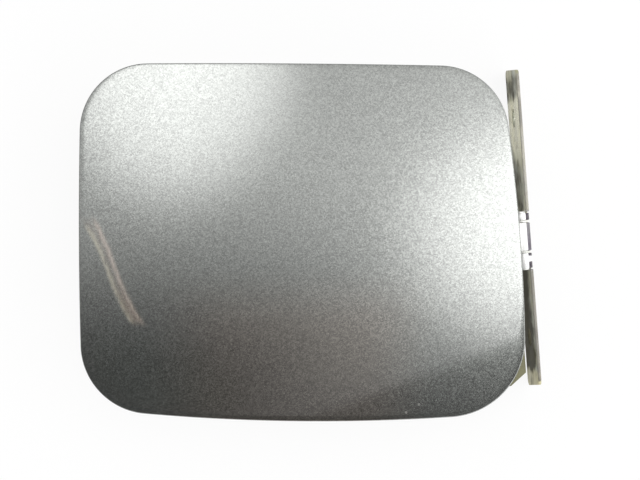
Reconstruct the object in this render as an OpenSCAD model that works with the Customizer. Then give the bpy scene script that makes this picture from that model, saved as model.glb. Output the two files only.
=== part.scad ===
// Car fuel door: a hemmed double-skin door on a strap hinge, with its base plate for the body side.
// Frame: +Y runs up along the hinge pin, +X points from the door to the base plate's mounting face,
// +Z points out of the painted face. The origin is the middle of the two screw holes, on that face.

/* [Door outline] */
// Width of the door across its widest stretch
door_w = 165; // [150:1:180]
// Height of the door
door_h = 131; // [120:1:145]
// Angle between the door's left edge and the hinge pin, degrees
door_turn = 4.2; // [2:0.1:5]
// Radius of the top left corner
corner_tl = 25.2; // [18:0.1:32]
// Radius of the top right corner
corner_tr = 25.7; // [18:0.1:32]
// Radius of the bottom right corner
corner_br = 28.9; // [18:0.1:32]
// Radius of the bottom left corner
corner_bl = 25.9; // [18:0.1:32]
// How far the top right corner is set in from the widest point
slant_right = 6; // [4:0.1:8]
// How far the bottom left corner is set up from the lowest point
slant_bottom = 1.2; // [0:0.1:3]
// Radius to which the top edge is bowed
bow_top = 5500; // [1500:100:8000]
// Radius to which the right edge is bowed
bow_right = 680; // [500:10:2000]
// Radius to which the bottom edge is bowed
bow_bottom = 790; // [500:10:2000]
// Radius to which the left edge is bowed
bow_left = 2000; // [800:100:8000]

/* [Door skins] */
// Radius of the painted face's crown
crown_r = 1800; // [1500:50:4000]
// Thickness of the painted outer sheet
skin_t = 0.8; // [0.6:0.05:1]
// Width of the hem flange that is folded round the inner panel
hem_w = 9; // [7:0.5:11]
// Thickness of the inner sheet
inner_t = 0.7; // [0.5:0.05:0.9]
// Gap between the inner sheet's edge and the hem's fold
hem_play = 0.4; // [0.2:0.1:1]
// Gap between the inner sheet and the painted sheet at the door's farthest corner
fold_play = 0.2; // [0.1:0.05:2]
// Width of the sealer bead along the hem
sealer_w = 2.5; // [1.5:0.1:4]
// Distance from the door's edge to the inner panel's pan, on its three free sides
pan_margin = 17.5; // [16:0.5:24]
// Distance from the door's hinge edge to the pan
pan_hinge_margin = 37.5; // [36:0.5:46]
// Flat left between a stop buffer and the pan's corner
buffer_room = 1.8; // [1:0.1:3]
// Depth of the pan below the hem
pan_d = 7; // [5:0.5:9]
// Length of the raised field in the pan
field_w = 64; // [50:1:74]
// Height of the raised field in the pan
field_h = 34; // [26:1:40]
// How far the raised field stands up from the pan's floor
field_rise = 5; // [3:0.5:6]
// Radius of the lightening holes in the pan's corners
light_hole_r = 6; // [4:0.5:7]
// Radius of the hole in the raised field
field_hole_r = 8; // [5:0.5:10]
// Radius of the mastic pads that join the skins
mastic_r = 5; // [3:0.5:6]

/* [Hinge] */
// Length of the base plate
plate_l = 118; // [106:1:130]
// Depth of the base plate, square to the door
plate_w = 26; // [24:0.5:30]
// Thickness of the base plate
plate_t = 1.2; // [1:0.1:1.6]
// Corner radius of the base plate
plate_r = 2.5; // [1.5:0.5:9]
// How much farther each end of the base plate reaches at its lower edge
plate_flare = 3; // [0:0.1:4]
// Distance between the two screw holes
screw_pitch = 84; // [76:1:90]
// Radius of a screw hole
screw_hole_r = 3.5; // [2.5:0.1:4]
// Radius of the hinge pin
pin_r = 1.5; // [1.2:0.1:2]
// Running clearance round the pin, on the radius
pin_play = 0.04; // [0.02:0.01:0.08]
// Radius of the pin's swaged ends
pin_head_r = 1.7; // [1.6:0.05:1.75]
// Height of the pin's swaged ends
pin_head_t = 0.7; // [0.4:0.1:1]
// Depth of the pin's middle below the base plate's top edge
pin_drop = 1; // [0.6:0.1:1.4]
// Distance of the eye's middle from the base plate's middle, towards the bottom
knuckle_y = 3.4; // [0:0.1:6]
// Length of the upper knuckle on the base plate
knuckle_top_l = 2.6; // [2:0.1:5]
// Length of the lower knuckle on the base plate
knuckle_low_l = 5.6; // [3:0.1:7]
// Length of the eye on the door's leaf
eye_l = 10.4; // [8:0.1:14]
// Thickness of a washer
washer_t = 0.8; // [0.5:0.1:1.2]
// Running clearance along the pin, beside each washer
side_play = 0.1; // [0.05:0.01:0.2]
// Thickness of the door's leaf
leaf_t = 1.5; // [1.4:0.1:1.8]
// Width of the door's leaf
leaf_w = 22.5; // [20:0.5:25]
// Distance of the leaf's edge from the pin's middle, above and below the eye
leaf_set = 2.8; // [2.3:0.1:3.2]
// How far the door's leaf reaches above the base plate's middle
leaf_up = 27; // [20:1:30]
// How far the door's leaf reaches below the base plate's middle
leaf_down = 58.5; // [50:0.5:60]
// Corner radius of the door's leaf
leaf_r = 5; // [3:0.5:8]
// Width of the cut at the leaf's two corners beside the pin
leaf_cut_x = 6; // [4:0.5:9]
// Height of that cut
leaf_cut_y = 4.7; // [3:0.1:7]
// Distance from the door's hinge edge to the mounting face
door_gap = 4.6; // [4.2:0.01:8]
// Distance of the door's middle above the base plate's middle
door_lift = 1.3; // [0:0.1:3]
// Clearance between parts that pass each other
clear = 0.5; // [0.3:0.1:0.8]

/* [Detent spring] */
// Thickness of the spring leaf
spring_t = 0.6; // [0.4:0.1:0.8]
// Width of the spring leaf
spring_w = 9; // [6:0.5:10]
// Radius of the rivet that holds it
spring_rivet_r = 1.6; // [1.2:0.1:2]

/* [Fittings on the inner panel] */
// Thickness of the striker's sheet
striker_t = 1.5; // [1.2:0.1:2]
// Width of the striker
striker_w = 24; // [20:1:30]
// Length of the striker's foot
striker_foot = 16; // [12:1:20]
// Depth of the striker below its foot
striker_d = 15; // [12:0.5:20]
// Width of the striker's window
window_w = 12; // [8:0.5:14]
// Height of the striker's window
window_h = 7; // [5:0.5:8]
// Radius of the striker's rivets
rivet_r = 2; // [1.6:0.1:2.4]
// Radius of a stop buffer
buffer_r = 4; // [3:0.1:4.2]
// Height of a stop buffer below the inner sheet
buffer_h = 6; // [4:0.5:9]
// Radius of a stop buffer's neck
buffer_neck_r = 2; // [1.5:0.1:2.5]
// Width of the cap holder
holder_w = 38; // [36:1:46]
// Thickness of the cap holder's plate
holder_t = 2.5; // [2:0.1:3]
// Thickness of the cap holder's prongs
prong_t = 3; // [2:0.1:3.5]
// Depth of the cap holder's prongs
holder_d = 11; // [8:0.5:14]
// Width of the cap holder's slot
holder_slot = 14; // [10:1:16]

/* [Hidden] */
$fn = 64;
eps = 0.01;

// Levels along Z
plate_top = plate_w / 2;
eye_r = pin_r + leaf_t;
pin_z = plate_top - pin_drop;
hem_z = pin_z + eye_r;
inner_z = hem_z + skin_t;
pan_z = hem_z - pan_d;
over = 1;

// Places along X and Y
pin_x = -eye_r;
knuckle_r = pin_r + plate_t;
knuckle_mid = -knuckle_y;
knuckle_in = eye_l / 2 + washer_t + 2 * side_play;
knuckle_top = knuckle_mid + knuckle_in + knuckle_top_l;
knuckle_low = knuckle_mid - knuckle_in - knuckle_low_l;
knuckles = [[knuckle_low + knuckle_low_l / 2, knuckle_low_l], [knuckle_top - knuckle_top_l / 2, knuckle_top_l]];
leaf_right = pin_x - leaf_set;

// The door's outline: four corner arcs joined by four bowed sides, clockwise from the top left
corner_radius = [corner_tl, corner_tr, corner_br, corner_bl];
bow = [bow_top, bow_right, bow_bottom, bow_left];
top_drop = 0.8;
left_inset = 0.3;
corner_mid = [
    [-door_w / 2 + corner_tl, door_h / 2 - corner_tl],
    [door_w / 2 - slant_right - corner_tr, door_h / 2 - top_drop - corner_tr],
    [door_w / 2 - corner_br, -door_h / 2 + corner_br],
    [-door_w / 2 + left_inset + corner_bl, -door_h / 2 + slant_bottom + corner_bl]];
corner_steps = 9;
side_steps = 8;

function heading(v) = atan2(v.y, v.x);

// Middle of the big circle that touches corner circles i and i + 1 from inside
function bow_mid(i) =
    let (a = corner_mid[i], b = corner_mid[(i + 1) % 4],
        da = bow[i] - corner_radius[i], db = bow[i] - corner_radius[(i + 1) % 4],
        span = norm(b - a), along = (da * da - db * db + span * span) / (2 * span),
        across = sqrt(da * da - along * along), u = (b - a) / span)
    a + u * along + [u.y, -u.x] * across;

function arc(mid, r, from, turn, steps) =
    [for (k = [0 : steps]) mid + r * [cos(from + turn * k / steps), sin(from + turn * k / steps)]];

function fold(a) = a > 0 ? fold(a - 360) : a <= -360 ? fold(a + 360) : a;

// Outline of the door, set in by the given distance
function outline(inset) = [for (i = [0 : 3])
    let (before = bow_mid((i + 3) % 4), after = bow_mid(i), c = corner_mid[i], n = corner_mid[(i + 1) % 4],
        from = heading(c - before), to = heading(c - after), last = heading(n - after))
    each concat(
        arc(c, corner_radius[i] - inset, from, fold(to - from), corner_steps),
        [for (k = [1 : side_steps - 1])
            let (a = to + fold(last - to) * k / side_steps)
            after + (bow[i] - inset) * [cos(a), sin(a)]])];

// The door's place: its hinge edge keeps its distance from the mounting face
door_reach = door_gap + max([for (p = outline(0)) p.x * cos(door_turn) + p.y * sin(door_turn)]);
function placed(p) = [-door_reach + p.x * cos(door_turn) + p.y * sin(door_turn),
    door_lift - p.x * sin(door_turn) + p.y * cos(door_turn)];

// The crown: its height leaves room for both folds and the inner sheet in the farthest corner
function sagitta(reach) = crown_r - sqrt(crown_r * crown_r - reach * reach);
crown_h = 2 * skin_t + inner_t + fold_play + sagitta(max([for (p = outline(0)) norm(p)]));
crown_z = hem_z + crown_h;
function under_skin(reach) = crown_z - skin_t - sagitta(reach);

// Outline of a strip of even thickness that is bent along a line of points
function normal_at(line, i) =
    let (a = line[max(i - 1, 0)], b = line[min(i + 1, len(line) - 1)], u = (b - a) / norm(b - a))
    [-u.y, u.x];
function strip(line, t) = concat(
    [for (i = [0 : len(line) - 1]) line[i] + normal_at(line, i) * t / 2],
    [for (i = [len(line) - 1 : -1 : 0]) line[i] - normal_at(line, i) * t / 2]);

module in_door() {
    translate([-door_reach, door_lift, 0]) rotate([0, 0, -door_turn]) children();
}

module slab(inset, z, t) {
    translate([0, 0, z]) linear_extrude(t) polygon(outline(inset));
}

module rounded(w, h, r, z, t) {
    translate([0, 0, z]) linear_extrude(t) {
        square([w - 2 * r, h], center = true);
        square([w, h - 2 * r], center = true);
        for (x = [-1, 1], y = [-1, 1])
            translate([x * (w / 2 - r), y * (h / 2 - r)]) circle(r);
    }
}

module disc(x, y, r, z, t) {
    translate([x, y, z]) cylinder(h = t, r = r);
}

// A profile drawn in X and Z, as thick as l, centred on y
module across(y, l) {
    translate([0, y + l / 2, 0]) rotate([90, 0, 0]) linear_extrude(l) children();
}

module along_pin(y, l, r) {
    translate([pin_x, y + l / 2, pin_z]) rotate([90, 0, 0]) cylinder(h = l, r = r);
}

module crown(drop) {
    translate([0, 0, crown_z - crown_r]) sphere(r = crown_r - drop, $fn = 360);
}

// Outer sheet: crowned face, edge wall and hem flange
module outer_panel() color([0.33, 0.33, 0.33]) in_door() {
    rim_top = crown_h + over;
    difference() {
        intersection() {
            slab(0, hem_z, rim_top);
            crown(0);
        }
        intersection() {
            slab(skin_t, inner_z, rim_top);
            crown(skin_t);
        }
        slab(hem_w, hem_z - over, skin_t + 2 * over);
    }
}

// Places of the fittings, in the door's own frame
function buffer_at(i, side) =
    corner_mid[i] + (corner_radius[i] - hem_w - sealer_w - buffer_r - clear) * [-sin(45), side * sin(45)];
buffer_top_at = buffer_at(0, 1);
buffer_bottom_at = buffer_at(3, -1);
barb_r = buffer_neck_r * 1.4;
barb_play = 0.1;
dome_t = 1;

// The pan: its edges keep their distance from the door's, and its corners leave room for the buffers
pan_w = door_w - pan_margin - pan_hinge_margin;
pan_h = door_h - 2 * pan_margin;
pan_shift = (pan_hinge_margin - pan_margin) / 2;
buffer_in = [buffer_top_at.x + door_w / 2 - pan_margin, door_h / 2 - pan_margin - buffer_top_at.y];
buffer_sum = buffer_in.x + buffer_in.y + buffer_r + buffer_room;
pan_r = buffer_sum + sqrt(pow(buffer_sum, 2) + pow(buffer_r + buffer_room, 2) - pow(norm(buffer_in), 2));
light_hole_at = [pan_w / 2 - pan_r, pan_h / 2 - pan_r];
mastic_edge = 3;
mastic_x = field_w / 2 - mastic_r - mastic_edge;
mastic_play = 0.2;
mastic_far = pan_shift + mastic_x + mastic_r;
mastic_low = pan_z + field_rise + inner_t;
mastic_top = under_skin(mastic_far) - mastic_play;
striker_set = 3;
striker_x = -pan_shift - pan_w / 2 + striker_set;
window_lip = 2.5;
striker_rivet_x = striker_x + striker_foot - 2 * rivet_r;
striker_rivet_y = striker_w / 2 - 2.2 * rivet_r;
holder_y = -(field_h / 2 + pan_h / 2) / 2;
holder_depth = 12;
prong_toe = 2;
prong_barb = 1.2;
prong_set = 1;
holder_rivet_edge = 4;
holder_rivet_x = holder_w / 2 - holder_rivet_edge;

// Inner sheet: a flange under the hem, a deep pan and a raised field in it
module inner_panel() color([0.42, 0.43, 0.33]) in_door() {
    difference() {
        union() {
            slab(skin_t + hem_play, inner_z, inner_t);
            translate([-pan_shift, 0, 0]) rounded(pan_w, pan_h, pan_r, pan_z, inner_z - pan_z + eps);
        }
        difference() {
            translate([-pan_shift, 0, 0])
                rounded(pan_w - 2 * inner_t, pan_h - 2 * inner_t, pan_r - inner_t,
                    pan_z + inner_t, pan_d + skin_t + over);
            translate([-pan_shift, 0, 0])
                rounded(field_w, field_h, field_h / 2 - eps, pan_z, field_rise + inner_t);
        }
        translate([-pan_shift, 0, 0])
            rounded(field_w - 2 * inner_t, field_h - 2 * inner_t, field_h / 2 - inner_t - eps,
                pan_z - over, field_rise + over);
        for (x = [-1, 1], y = [-1, 1])
            disc(-pan_shift + x * light_hole_at.x, y * light_hole_at.y, light_hole_r, pan_z - over, inner_t + 2 * over);
        disc(-pan_shift, 0, field_hole_r, pan_z, field_rise + inner_t + over);
        for (at = [buffer_top_at, buffer_bottom_at])
            disc(at.x, at.y, buffer_neck_r, inner_z - over, inner_t + 2 * over);
        for (y = [-1, 1])
            disc(striker_rivet_x, y * striker_rivet_y, rivet_r, pan_z - over, inner_t + 2 * over);
        for (x = [-1, 1])
            disc(-pan_shift + x * holder_rivet_x, holder_y, rivet_r, pan_z - over, inner_t + 2 * over);
    }
}

// Bead of sealer that closes the hem
module hem_sealer() color([0.55, 0.54, 0.48]) in_door() difference() {
    slab(hem_w, hem_z, skin_t);
    slab(hem_w + sealer_w, hem_z - over, skin_t + 2 * over);
}

// Soft pads that stop the outer sheet from fluttering
module mastic_pads() color([0.16, 0.16, 0.16]) in_door() for (x = [-1, 1])
    disc(-pan_shift + x * mastic_x, 0, mastic_r, mastic_low, mastic_top - mastic_low);

// Stamped catch for the body's latch plunger
module striker() color([0.72, 0.7, 0.6]) in_door() difference() {
    union() {
        translate([striker_x, -striker_w / 2, pan_z - striker_t]) cube([striker_foot, striker_w, striker_t]);
        translate([striker_x, -striker_w / 2, pan_z - striker_d]) cube([striker_t, striker_w, striker_d]);
    }
    translate([striker_x - over, -window_w / 2, pan_z - striker_d + window_lip])
        cube([striker_t + 2 * over, window_w, window_h]);
    for (y = [-1, 1])
        disc(striker_rivet_x, y * striker_rivet_y, rivet_r, pan_z - striker_t - over, striker_t + 2 * over);
}

module rivet(x, y, r, low, high) {
    disc(x, y, r, low, high - low);
    disc(x, y, r * 1.7, low - r * 0.5, r * 0.5);
    disc(x, y, r * 1.5, high, r * 0.4);
}

module striker_rivets() color([0.75, 0.75, 0.75]) in_door() for (y = [-1, 1])
    rivet(striker_rivet_x, y * striker_rivet_y, rivet_r, pan_z - striker_t, pan_z + inner_t);

// Rubber stop: a domed foot, a neck through the sheet and a barb above it
module buffer(at) {
    barb_t = under_skin(norm(at) + barb_r) - inner_z - inner_t - barb_play;
    disc(at.x, at.y, buffer_neck_r, inner_z, inner_t);
    disc(at.x, at.y, barb_r, inner_z + inner_t, barb_t);
    disc(at.x, at.y, buffer_r, inner_z - buffer_h + dome_t, buffer_h - dome_t);
    translate([at.x, at.y, inner_z - buffer_h]) cylinder(h = dome_t, r1 = buffer_r - dome_t, r2 = buffer_r);
}

module buffer_top() color([0.1, 0.1, 0.1]) in_door() buffer(buffer_top_at);

module buffer_bottom() color([0.1, 0.1, 0.1]) in_door() buffer(buffer_bottom_at);

// Forked plastic rest that the fuel cap hangs in
module cap_holder() color([0.12, 0.12, 0.13]) in_door() translate([-pan_shift, holder_y, 0]) {
    difference() {
        translate([-holder_w / 2, -holder_depth / 2, pan_z - holder_t]) cube([holder_w, holder_depth, holder_t]);
        for (x = [-1, 1]) disc(x * holder_rivet_x, 0, rivet_r, pan_z - holder_t - over, holder_t + 2 * over);
    }
    for (x = [-1, 1]) translate([x * (holder_slot + prong_t) / 2, 0, pan_z - holder_t - holder_d / 2]) {
        cube([prong_t, holder_depth - 2 * prong_set, holder_d], center = true);
        translate([0, 0, -(holder_d + prong_toe) / 2])
            cube([prong_t + 2 * prong_barb, holder_depth - 2 * prong_set, prong_toe], center = true);
    }
}

module cap_holder_rivets() color([0.15, 0.15, 0.15]) in_door() for (x = [-1, 1])
    rivet(-pan_shift + x * holder_rivet_x, holder_y, rivet_r, pan_z - holder_t, pan_z + inner_t);

// Door-side leaf: a strap under the door's edge with a rolled eye round the pin
leaf_mid = (leaf_up - leaf_down) / 2;
leaf_l = leaf_up + leaf_down;
notch_end = pin_head_t + clear;
notches = [[knuckle_low - notch_end, knuckle_mid - eye_l / 2], [knuckle_mid + eye_l / 2, knuckle_top + notch_end]];
weld_r = 2.6;
weld_depth = 0.3;
weld_end = 6;

// The reinforcement keeps clear of the sealer on the hinge side and in the corner below
sealed = hem_w + sealer_w;
side_mid = placed(bow_mid(1));
corner_at = placed(corner_mid[2]);
function sealer_x(y) = side_mid.x + sqrt(pow(bow_right - sealed, 2) - pow(y - side_mid.y, 2));
reinforcement_r = 3;
reinforcement_gap = 1.9;
reinforcement_seat = 3.5;
reinforcement_set = 0.5;
reinforcement_end = 4;
reinforcement_top = leaf_up - reinforcement_end;
reinforcement_right = min(sealer_x(reinforcement_top), sealer_x(corner_at.y)) - reinforcement_gap;
reinforcement_low = corner_at.y + reinforcement_seat
    - sqrt(max(0, pow(corner_br - sealed, 2) - pow(reinforcement_right - corner_at.x, 2)));
reinforcement_left = leaf_right - leaf_w + reinforcement_set;
reinforcement_x = (reinforcement_left + reinforcement_right) / 2;
weld_y = [for (k = [0 : 3])
    reinforcement_top - weld_end - k * (reinforcement_top - reinforcement_low - 2 * weld_end) / 3];

module hinge_leaf() color([0.6, 0.6, 0.45]) difference() {
    union() {
        translate([leaf_right - leaf_w / 2, leaf_mid, 0]) rounded(leaf_w, leaf_l, leaf_r, hem_z - leaf_t, leaf_t);
        across(knuckle_mid, eye_l) {
            translate([pin_x, pin_z]) circle(eye_r);
            translate([leaf_right - over, hem_z - leaf_t]) square([pin_x - leaf_right + over, leaf_t]);
        }
    }
    along_pin(knuckle_mid, eye_l + 2 * over, pin_r + pin_play);
    for (y = notches)
        translate([pin_x - eye_r - clear, y[0], hem_z - 3 * leaf_t]) cube([2 * eye_r, y[1] - y[0], 4 * leaf_t]);
    for (side = [-1, 1])
        translate([leaf_right, leaf_mid + side * leaf_l / 2, hem_z - leaf_t - over]) linear_extrude(leaf_t + 2 * over)
            polygon([[-leaf_cut_x * (1 + over / leaf_cut_y), side * over], [over, side * over],
                [over, -side * leaf_cut_y * (1 + over / leaf_cut_x)]]);
    for (y = weld_y) disc(reinforcement_x, y, weld_r, hem_z - leaf_t - over, over + weld_depth);
}

// Plate between the leaf and the inner sheet, beside the hem
module hinge_reinforcement() color([0.42, 0.43, 0.33])
    translate([reinforcement_x, (reinforcement_top + reinforcement_low) / 2, 0])
        rounded(reinforcement_right - reinforcement_left, reinforcement_top - reinforcement_low,
            reinforcement_r, hem_z, skin_t);

// Base plate, square to the door: its ends lean, so that its lower edge is longer
plate_slope = norm([plate_w, plate_flare]);
function plate_mid(x) = plate_l / 2 + (plate_flare * (x + plate_w / 2) - plate_r * plate_slope) / plate_w;
module plate() {
    end = plate_r * [-plate_flare, plate_w] / plate_slope;
    mids = [for (x = [-1, 1] * (plate_w / 2 - plate_r)) [x, plate_mid(x)]];
    half = [[-plate_w / 2, mids[0].y], mids[0] + end, mids[1] + end, [plate_w / 2, mids[1].y]];
    rotate([0, 90, 0]) translate([0, 0, -plate_t]) linear_extrude(plate_t) {
        polygon(concat(half, [for (i = [3 : -1 : 0]) [half[i].x, -half[i].y]]));
        for (m = mids, side = [-1, 1]) translate([m.x, side * m.y]) circle(plate_r);
    }
}

// The plate has two rolled knuckles in a notch
module hinge_base() color([0.5, 0.5, 0.36]) difference() {
    union() {
        difference() {
            plate();
            translate([-plate_t - over, knuckle_low - clear, pin_z - eye_r - 2 * clear])
                cube([plate_t + 2 * over, knuckle_top - knuckle_low + 2 * clear, plate_w]);
        }
        for (k = knuckles) across(k[0], k[1]) {
            translate([pin_x, pin_z]) circle(knuckle_r);
            translate([-plate_t, pin_z - eye_r - 2 * clear - eps]) square([plate_t, eye_r + 2 * clear]);
            translate([pin_x, pin_z - knuckle_r]) square([-pin_x, plate_t]);
        }
    }
    for (k = knuckles) along_pin(k[0], k[1] + 2 * over, pin_r + pin_play);
    for (y = [-1, 1] * screw_pitch / 2)
        translate([-plate_t - over, y, 0]) rotate([0, 90, 0]) cylinder(h = plate_t + 2 * over, r = screw_hole_r);
    translate([-plate_t - over, knuckle_mid, spring_rivet_z]) rotate([0, 90, 0])
        cylinder(h = plate_t + 2 * over, r = spring_rivet_r);
}

module hinge_pin() color([0.8, 0.8, 0.8]) {
    along_pin((knuckle_top + knuckle_low) / 2, knuckle_top - knuckle_low, pin_r);
    for (y = [knuckle_top + pin_head_t / 2, knuckle_low - pin_head_t / 2]) along_pin(y, pin_head_t, pin_head_r);
}

module washer(side) color([0.92, 0.92, 0.9])
    difference() {
        y = knuckle_mid + side * (eye_l / 2 + side_play + washer_t / 2);
        along_pin(y, washer_t, knuckle_r);
        along_pin(y, washer_t + 2 * over, pin_r + pin_play);
    }

module washer_top() washer(1);

module washer_bottom() washer(-1);

// Leaf spring that presses on the eye from below, riveted to the base plate
spring_rivet_z = 0;
spring_foot = 4;
spring_bend_r = 2;
spring_lip = 3;
spring_gap = 0.3;
spring_past = 1.5;
spring_dip = 0.8;
spring_head_t = 0.8;
spring_top = pin_z - eye_r - spring_gap - spring_t / 2;
spring_line = concat(
    [[-plate_t - spring_t / 2, spring_rivet_z - spring_foot]],
    arc([-plate_t - spring_t / 2 - spring_bend_r, spring_top - spring_bend_r], spring_bend_r, 0, 90, 6),
    arc([pin_x - spring_past, spring_top - spring_bend_r], spring_bend_r, 90, 50, 4),
    [[pin_x - spring_past - spring_lip - spring_dip, spring_top - spring_lip]]);

module detent_spring() color([0.75, 0.76, 0.78]) difference() {
    across(knuckle_mid, spring_w) polygon(strip(spring_line, spring_t));
    translate([-plate_t - spring_t - over, knuckle_mid, spring_rivet_z]) rotate([0, 90, 0])
        cylinder(h = spring_t + 2 * over, r = spring_rivet_r);
}

module spring_rivet() color([0.75, 0.75, 0.75]) translate([0, knuckle_mid, spring_rivet_z]) rotate([0, -90, 0]) {
    cylinder(h = plate_t + spring_t, r = spring_rivet_r);
    translate([0, 0, plate_t + spring_t]) cylinder(h = spring_head_t, r = spring_rivet_r * 1.7);
}

hinge_base();
hinge_pin();
washer_top();
washer_bottom();
detent_spring();
spring_rivet();
hinge_leaf();
hinge_reinforcement();
outer_panel();
inner_panel();
hem_sealer();
mastic_pads();
striker();
striker_rivets();
buffer_top();
buffer_bottom();
cap_holder();
cap_holder_rivets();
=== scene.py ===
"""Looks of a used car fuel door: a hemmed, painted skin over a stamped panel, on a plated strap hinge."""

from math import cos, pi, radians, sin

import bmesh
import bpy
import numpy as np
from bpy.props import FloatProperty, FloatVectorProperty, PointerProperty
from mathutils import Matrix, Vector


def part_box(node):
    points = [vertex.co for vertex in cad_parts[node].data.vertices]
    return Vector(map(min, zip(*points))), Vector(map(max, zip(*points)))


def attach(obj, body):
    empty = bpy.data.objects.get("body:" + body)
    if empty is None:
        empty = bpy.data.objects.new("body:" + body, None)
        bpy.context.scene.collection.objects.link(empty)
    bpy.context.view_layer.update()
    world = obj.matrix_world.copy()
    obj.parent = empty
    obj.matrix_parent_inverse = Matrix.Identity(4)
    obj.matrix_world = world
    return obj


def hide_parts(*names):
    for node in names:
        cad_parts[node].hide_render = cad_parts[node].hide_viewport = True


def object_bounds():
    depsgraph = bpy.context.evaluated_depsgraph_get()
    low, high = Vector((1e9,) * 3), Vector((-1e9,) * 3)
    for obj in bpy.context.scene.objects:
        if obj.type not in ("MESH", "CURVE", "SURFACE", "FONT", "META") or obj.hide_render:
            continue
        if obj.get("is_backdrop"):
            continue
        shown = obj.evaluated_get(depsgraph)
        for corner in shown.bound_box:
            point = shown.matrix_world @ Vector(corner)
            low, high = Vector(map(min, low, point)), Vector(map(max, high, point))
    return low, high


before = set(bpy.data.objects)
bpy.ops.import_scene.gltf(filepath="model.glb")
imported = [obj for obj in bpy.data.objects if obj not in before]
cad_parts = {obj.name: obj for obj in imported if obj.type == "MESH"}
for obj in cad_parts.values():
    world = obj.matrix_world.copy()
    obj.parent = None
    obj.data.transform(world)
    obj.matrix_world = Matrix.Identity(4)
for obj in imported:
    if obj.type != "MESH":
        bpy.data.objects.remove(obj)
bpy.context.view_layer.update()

bl_info = {
    "name": "Fuel door",
    "version": (1, 0, 0),
    "blender": (4, 5, 0),
    "location": "3D View > Sidebar > Fuel Door",
    "description": "Builds the skins, hinge, fittings and finishes of a car fuel door",
    "category": "Object",
}

MM = 0.001
STEPS = 26  # points on each corner and on each side of a ring


def length(name, description, default):
    """A size, kept in metres, whose default is given in millimetres"""
    metres = default * MM
    return FloatProperty(name=name, description=description, default=metres, precision=5, unit="LENGTH")


def number(name, description, default):
    """A plain number"""
    return FloatProperty(name=name, description=description, default=default)


def degrees(name, description, default):
    """An angle, kept in radians, whose default is given in degrees"""
    return FloatProperty(name=name, description=description, default=radians(default), subtype="ANGLE")


def colour(name, description, default):
    """A linear colour"""
    return FloatVectorProperty(name=name, description=description, default=default, size=3, subtype="COLOR")


def spot(name, description, default):
    """A place or size in the lights' plane: across and up, each over the height"""
    return FloatVectorProperty(name=name, description=description, default=default, size=2, precision=3)


class FUELDOOR_PG_outline(bpy.types.PropertyGroup):
    """The door's outline and where it lies in the frame"""

    width: length("Width", "Width of the door across its widest stretch", 165)
    height: length("Height", "Height of the door", 131)
    corner_tl: length("Top left corner", "Radius of the top left corner", 25.2)
    corner_tr: length("Top right corner", "Radius of the top right corner", 25.7)
    corner_br: length("Bottom right corner", "Radius of the bottom right corner", 28.9)
    corner_bl: length("Bottom left corner", "Radius of the bottom left corner", 25.9)
    slant_right: length("Right slant", "How far the top right corner is set in", 6)
    slant_bottom: length("Bottom slant", "How far the bottom left corner is set up", 1.2)
    top_drop: length("Top drop", "How far the top right corner is set down", 0.8)
    left_inset: length("Left inset", "How far the bottom left corner is set in", 0.3)
    bow_top: length("Top bow", "Radius to which the top edge is bowed", 5500)
    bow_right: length("Right bow", "Radius to which the right edge is bowed", 680)
    bow_bottom: length("Bottom bow", "Radius to which the bottom edge is bowed", 790)
    bow_left: length("Left bow", "Radius to which the left edge is bowed", 2000)
    inset: length("Inset", "How far the skins stay inside the outline", 0.07)
    middle_x: length("Middle X", "Place of the door's middle along X", -85.14)
    middle_y: length("Middle Y", "Place of the door's middle along Y", 1.3)
    turn: degrees("Turn", "Turn of the door against the hinge pin", 4.2)


class FUELDOOR_PG_sheet(bpy.types.PropertyGroup):
    """The two skins and what joins them"""

    hem_z: length("Hem level", "Level of the hem's back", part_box("outer_panel")[0].z / MM)
    crown_z: length("Crown level", "Level of the painted face's top", 20.0)
    crown_r: length("Crown radius", "Radius of the painted face's crown", 1800)
    skin_t: length("Skin", "Thickness of the outer sheet", 0.8)
    hem_w: length("Hem", "Width of the hem flange", 9)
    fold_r: length("Face fold", "Radius of the fold on the painted face", 0.5)
    back_r: length("Back fold", "Radius of the fold on the back", 0.8)
    lip: length("Hem lip", "Easing of the hem's inner edge", 0.25)
    inner_t: length("Inner sheet", "Thickness of the inner sheet", 0.7)
    inner_inset: length("Inner inset", "How far the inner sheet stays inside the outline", 1.25)
    sealer_w: length("Sealer", "Width of the sealer bead", 2.5)
    sealer_lap: length("Sealer lap", "How far the bead laps over the hem's edge", 0.4)
    mastic_r: length("Mastic", "Radius of a mastic pad at its ends", 4.3)
    mastic_x: length("Mastic place", "Distance of a mastic pad from the pan's middle", 24)
    pan_w: length("Pan width", "Width of the pan", 110)
    pan_h: length("Pan height", "Height of the pan", 96)
    pan_r: length("Pan corner", "Corner radius of the pan", 18.1)
    pan_flare: length("Pan flare", "How far the pan's wall ends outside its size", 1.5)
    pan_x: length("Pan place", "Place of the pan's middle on the door", -10)
    pan_z: length("Pan level", "Level of the pan's floor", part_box("inner_panel")[0].z / MM)
    field_w: length("Field width", "Width of the recess in the pan", 62.6)
    field_h: length("Field height", "Height of the recess in the pan", 32.6)
    field_rise: length("Field rise", "Depth of the recess in the pan", 5)
    field_hole_r: length("Middle hole", "Radius of the hole in the recess", 8)
    light_hole_r: length("Corner holes", "Radius of the holes in the pan's corners", 6)
    press_r: length("Press radius", "Radius of the stamped bends", 1.7)
    draft: degrees("Draft", "Lean of the stamped walls", 9)


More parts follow.
